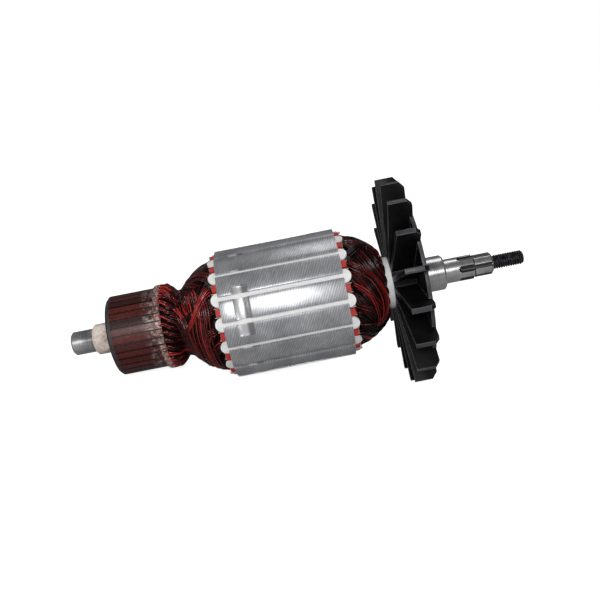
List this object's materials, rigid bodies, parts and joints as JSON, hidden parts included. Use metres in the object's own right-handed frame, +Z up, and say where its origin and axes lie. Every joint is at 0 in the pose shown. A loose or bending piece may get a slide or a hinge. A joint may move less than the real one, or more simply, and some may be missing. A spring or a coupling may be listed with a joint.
{
  "type": "motor armature",
  "caption": "Wound rotor of a universal motor: slotted laminated core with copper coils, hooked commutator, radial-blade cooling fan and a stepped shaft with a threaded end.",
  "frame": {"origin": "centre of the base of the whole object's box, on the table that it lies on", "axes": "+Z up from the table; +X towards the drive end, with the shaft rising from the commutator end to the drive end; -Y is the near side, from which the milled balance cut shows"},
  "size_m": [0.191, 0.0868, 0.0854],
  "materials": {
    "ground_steel": "ground and turned",
    "core_steel": "turned laminations",
    "red_fibre": "lacquered fibre board",
    "ivory_moulding": "glass-filled moulding",
    "white_insulation": "smooth white film and nylon",
    "enamelled_wire": "copper wire with red enamel, varnished",
    "commutator_copper": "copper under red lacquer",
    "dark_phenolic": "moulded phenolic",
    "black_nylon": "moulded, slightly glossy edges"
  },
  "bodies": {
    "root": {"shaft": "ground_steel", "insulating_tube": "ivory_moulding", "lamination_stack": "core_steel", "lead_end_disc": "red_fibre", "fan_end_disc": "red_fibre", "commutator_moulding": "dark_phenolic", "commutator_bars": "commutator_copper", "coil_leads": "enamelled_wire", "fan_spacer": "white_insulation", "fan": "black_nylon", "coil_1": "enamelled_wire", "coil_2": "enamelled_wire", "coil_3": "enamelled_wire", "coil_4": "enamelled_wire", "coil_5": "enamelled_wire", "coil_6": "enamelled_wire", "coil_7": "enamelled_wire", "coil_8": "enamelled_wire", "coil_9": "enamelled_wire", "coil_10": "enamelled_wire", "coil_11": "enamelled_wire", "coil_12": "enamelled_wire", "coil_13": "enamelled_wire", "coil_14": "enamelled_wire", "coil_15": "enamelled_wire", "coil_16": "enamelled_wire", "slot_liner_1": "white_insulation", "slot_liner_2": "white_insulation", "slot_liner_3": "white_insulation", "slot_liner_4": "white_insulation", "slot_liner_5": "white_insulation", "slot_liner_6": "white_insulation", "slot_liner_7": "white_insulation", "slot_liner_8": "white_insulation", "slot_liner_9": "white_insulation", "slot_liner_10": "white_insulation", "slot_liner_11": "white_insulation", "slot_liner_12": "white_insulation", "slot_liner_13": "white_insulation", "slot_liner_14": "white_insulation", "slot_liner_15": "white_insulation", "slot_liner_16": "white_insulation", "slot_wedge_1": "white_insulation", "slot_wedge_2": "white_insulation", "slot_wedge_3": "white_insulation", "slot_wedge_4": "white_insulation", "slot_wedge_5": "white_insulation", "slot_wedge_6": "white_insulation", "slot_wedge_7": "white_insulation", "slot_wedge_8": "white_insulation", "slot_wedge_9": "white_insulation", "slot_wedge_10": "white_insulation", "slot_wedge_11": "white_insulation", "slot_wedge_12": "white_insulation", "slot_wedge_13": "white_insulation", "slot_wedge_14": "white_insulation", "slot_wedge_15": "white_insulation", "slot_wedge_16": "white_insulation"}
  },
  "joints": []
}
